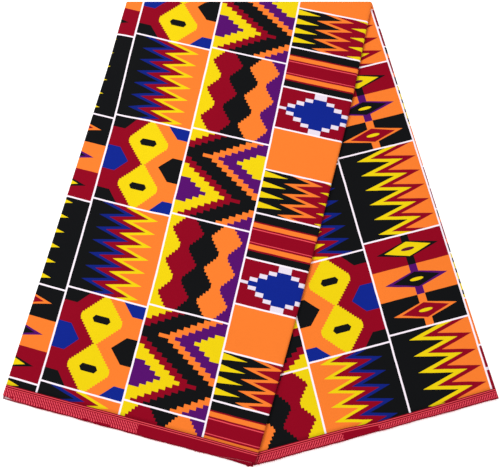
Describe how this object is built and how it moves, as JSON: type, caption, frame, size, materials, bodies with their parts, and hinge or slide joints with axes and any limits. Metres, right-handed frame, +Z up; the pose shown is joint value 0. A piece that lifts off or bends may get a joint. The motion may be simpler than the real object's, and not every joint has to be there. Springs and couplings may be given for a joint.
{
  "type": "folded wax print fabric",
  "caption": "Wax print cotton cloth folded into a flat pad and then once across, so that its two halves fan out and the front half lies over the back half.",
  "frame": {"origin": "middle of the plan, on the table that the cloth lies on", "axes": "+Z up from the table, +Y from the hems to the crease, +X from the front leg's side to the back leg's side"},
  "size_m": [0.5782, 0.5872, 0.0128],
  "materials": {
    "printed_cotton": "plain-weave waxed cotton printed with bright blocks, a soft low sheen",
    "selvedge_cotton": "close-woven crimson cotton edge with pale hatching",
    "inner_cotton": "edges of the folded cotton plies"
  },
  "bodies": {
    "root": {"printed_outer_ply": "printed_cotton", "front_selvedge": "selvedge_cotton", "back_selvedge": "selvedge_cotton", "hidden_plies": "inner_cotton"}
  },
  "joints": []
}
